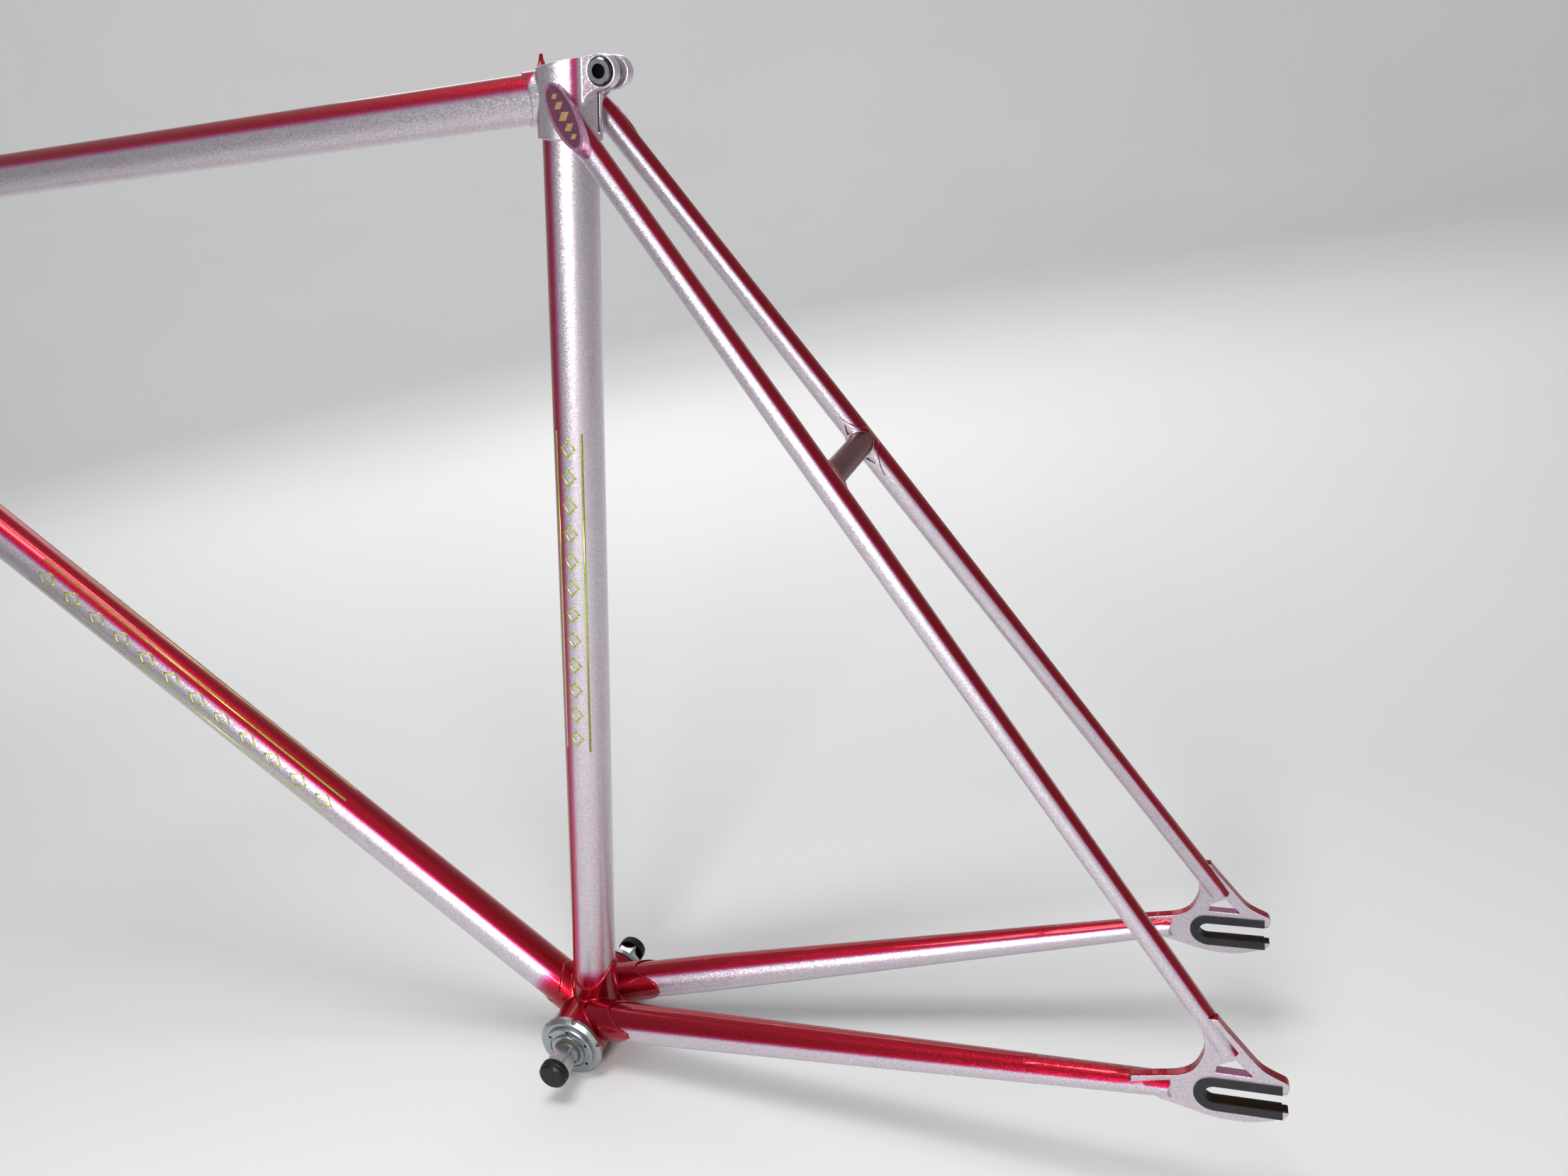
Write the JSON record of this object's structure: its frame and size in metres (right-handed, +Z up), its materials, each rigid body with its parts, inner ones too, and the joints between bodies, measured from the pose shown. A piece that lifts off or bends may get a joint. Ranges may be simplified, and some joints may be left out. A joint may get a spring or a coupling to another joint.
{
  "type": "bicycle frame",
  "caption": "Lugged steel track bicycle frame with rearward axle slots, seat lug clamp and fitted square-taper bottom bracket.",
  "frame": {"origin": "centre of the bottom bracket axis, midway across the shell", "axes": "+X towards the rear wheel, +Y towards the rider's right, +Z up with the bicycle standing"},
  "size_m": [0.9474, 0.1376, 0.6733],
  "materials": {
    "painted_steel": "gloss",
    "chrome": "polished",
    "stainless": "satin",
    "cup_alloy": "satin",
    "bearing_steel": "ground",
    "seal_rubber": "matte",
    "cap_plastic": "matte"
  },
  "bodies": {
    "frame": {"seat_tube": "painted_steel", "top_tube": "painted_steel", "down_tube": "painted_steel", "head_tube": "painted_steel", "seat_lug": "painted_steel", "upper_head_lug": "painted_steel", "lower_head_lug": "painted_steel", "bottom_bracket_shell": "painted_steel", "binder_bolt": "chrome", "binder_nut": "chrome", "seat_stay_bridge": "painted_steel", "left_chain_stay": "painted_steel", "left_seat_stay": "painted_steel", "left_seat_stay_cap": "painted_steel", "left_dropout": "painted_steel", "left_inner_facing": "stainless", "left_outer_facing": "stainless", "left_bridge_point": "painted_steel", "right_chain_stay": "painted_steel", "right_seat_stay": "painted_steel", "right_seat_stay_cap": "painted_steel", "right_dropout": "painted_steel", "right_inner_facing": "stainless", "right_outer_facing": "stainless", "right_bridge_point": "painted_steel", "bb_fixed_cup": "cup_alloy", "bb_adjustable_cup": "cup_alloy", "bb_lockring": "cup_alloy", "left_bb_seal": "seal_rubber", "right_bb_seal": "seal_rubber"},
    "spindle": {"bb_spindle": "bearing_steel"},
    "left_ball_set": {"left_bb_balls": "bearing_steel", "left_bb_cage": "bearing_steel"},
    "right_ball_set": {"right_bb_balls": "bearing_steel", "right_bb_cage": "bearing_steel"},
    "left_cap": {"left_spindle_cap": "cap_plastic"},
    "right_cap": {"right_spindle_cap": "cap_plastic"}
  },
  "joints": [
    {"name": "spindle_spin", "type": "hinge", "parent": "frame", "child": "spindle", "pos_m": [0, 0, 0], "axis": [0, 1, 0], "continuous": true},
    {"name": "left_ball_orbit", "type": "hinge", "parent": "frame", "child": "left_ball_set", "pos_m": [0, -0.027, 0], "axis": [0, 1, 0], "continuous": true},
    {"name": "right_ball_orbit", "type": "hinge", "parent": "frame", "child": "right_ball_set", "pos_m": [0, 0.027, 0], "axis": [0, 1, 0], "continuous": true},
    {"name": "left_cap_pull", "type": "slide", "parent": "spindle", "child": "left_cap", "axis": [0, -1, 0], "range_m": [0, 0.03]},
    {"name": "right_cap_pull", "type": "slide", "parent": "spindle", "child": "right_cap", "axis": [0, 1, 0], "range_m": [0, 0.03]}
  ],
  "couplings": [
    {"joint": "left_ball_orbit", "follows": "spindle_spin", "ratio": 0.4065},
    {"joint": "right_ball_orbit", "follows": "spindle_spin", "ratio": 0.4065}
  ]
}
